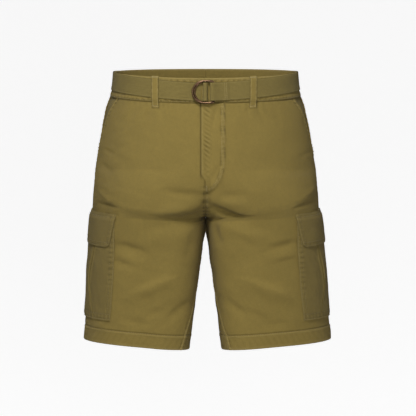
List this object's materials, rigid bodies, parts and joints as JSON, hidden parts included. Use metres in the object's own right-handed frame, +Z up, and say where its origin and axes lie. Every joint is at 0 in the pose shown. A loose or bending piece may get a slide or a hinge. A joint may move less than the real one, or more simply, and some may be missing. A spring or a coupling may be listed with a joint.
{
  "type": "cargo shorts",
  "caption": "Knee-length cotton cargo shorts, filled out as when worn: slant and pleated flap pockets, lapped fly, belt loops and a webbing belt with D-rings.",
  "frame": {"origin": "The middle of the waist opening, level with the waistband's top edge at the sides and back.", "axes": "+Z runs up from the hems to the waist, the longest way; the front faces -Y, the shortest way; +X is the wearer's left."},
  "size_m": [0.4589, 0.2729, 0.5105],
  "materials": {
    "twill": "washed cotton twill, olive khaki, matte",
    "pocket_twill": "the same cotton twill, a little darker",
    "webbing": "ribbed cotton webbing, olive, matte",
    "zip_tape": "woven zip tape with small teeth",
    "bronze": "antique bronze plating on round wire"
  },
  "bodies": {
    "root": {"front_left": "twill", "front_right": "twill", "back_left": "twill", "back_right": "twill", "pocket_facing_left": "twill", "pocket_facing_right": "twill", "waistband_left": "twill", "waistband_right": "twill", "cargo_pocket_left": "pocket_twill", "cargo_pocket_right": "pocket_twill", "cargo_flap_left": "pocket_twill", "cargo_flap_right": "pocket_twill", "belt_loop_front_left": "twill", "belt_loop_front_right": "twill", "belt_loop_back_left": "twill", "belt_loop_back_right": "twill", "belt_loop_back_centre": "twill", "belt_strap": "webbing", "belt_tongue": "webbing", "d_ring_front": "bronze", "d_ring_back": "bronze", "fly_zip": "zip_tape"}
  },
  "joints": []
}
